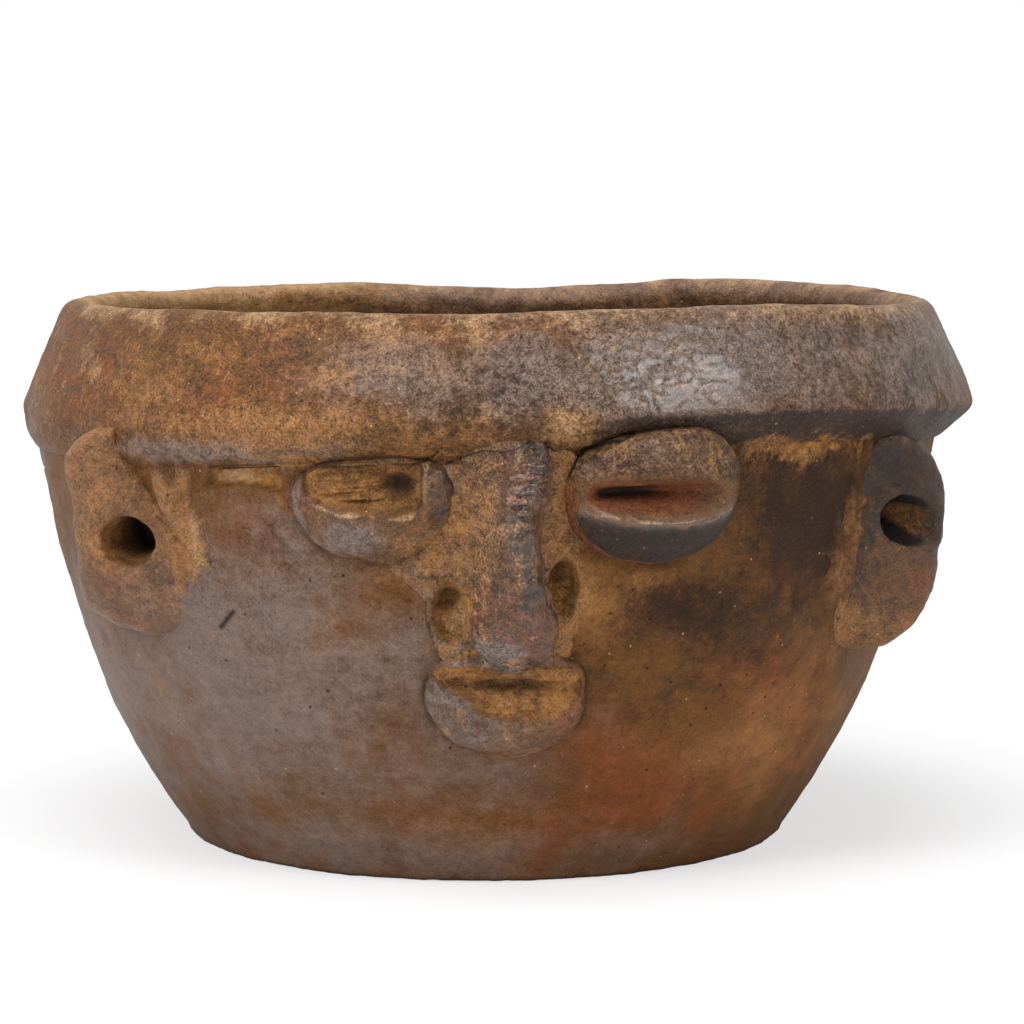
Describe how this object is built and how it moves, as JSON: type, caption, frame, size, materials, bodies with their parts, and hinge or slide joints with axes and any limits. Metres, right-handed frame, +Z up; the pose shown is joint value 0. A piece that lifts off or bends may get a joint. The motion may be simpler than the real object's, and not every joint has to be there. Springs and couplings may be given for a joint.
{
  "type": "face pot",
  "caption": "Flat-footed earthenware bowl with an overhanging rim collar and an applied face: slit eyes, strip nose, scooped mouth and pierced ear lugs.",
  "frame": {"origin": "centre of the foot, on the surface that the pot stands on", "axes": "+Z up the axis of the bowl, -Y the way the face looks, +X to the right of someone who looks at the face"},
  "size_m": [0.1782, 0.1828, 0.1021],
  "materials": {
    "burnished_clay": "burnished, with fire clouds",
    "applied_clay": "burnished on the high places",
    "smeared_clay": "matt, with ochre left in the hollows"
  },
  "bodies": {
    "root": {"base_slab": "burnished_clay", "lower_wall": "burnished_clay", "upper_wall": "burnished_clay", "rim_collar": "burnished_clay", "left_ear": "applied_clay", "left_ear_weld": "smeared_clay", "right_ear": "applied_clay", "right_ear_weld": "smeared_clay", "left_eye": "applied_clay", "right_eye": "applied_clay", "nose_pad": "smeared_clay", "nose": "applied_clay", "mouth": "applied_clay"}
  },
  "joints": []
}
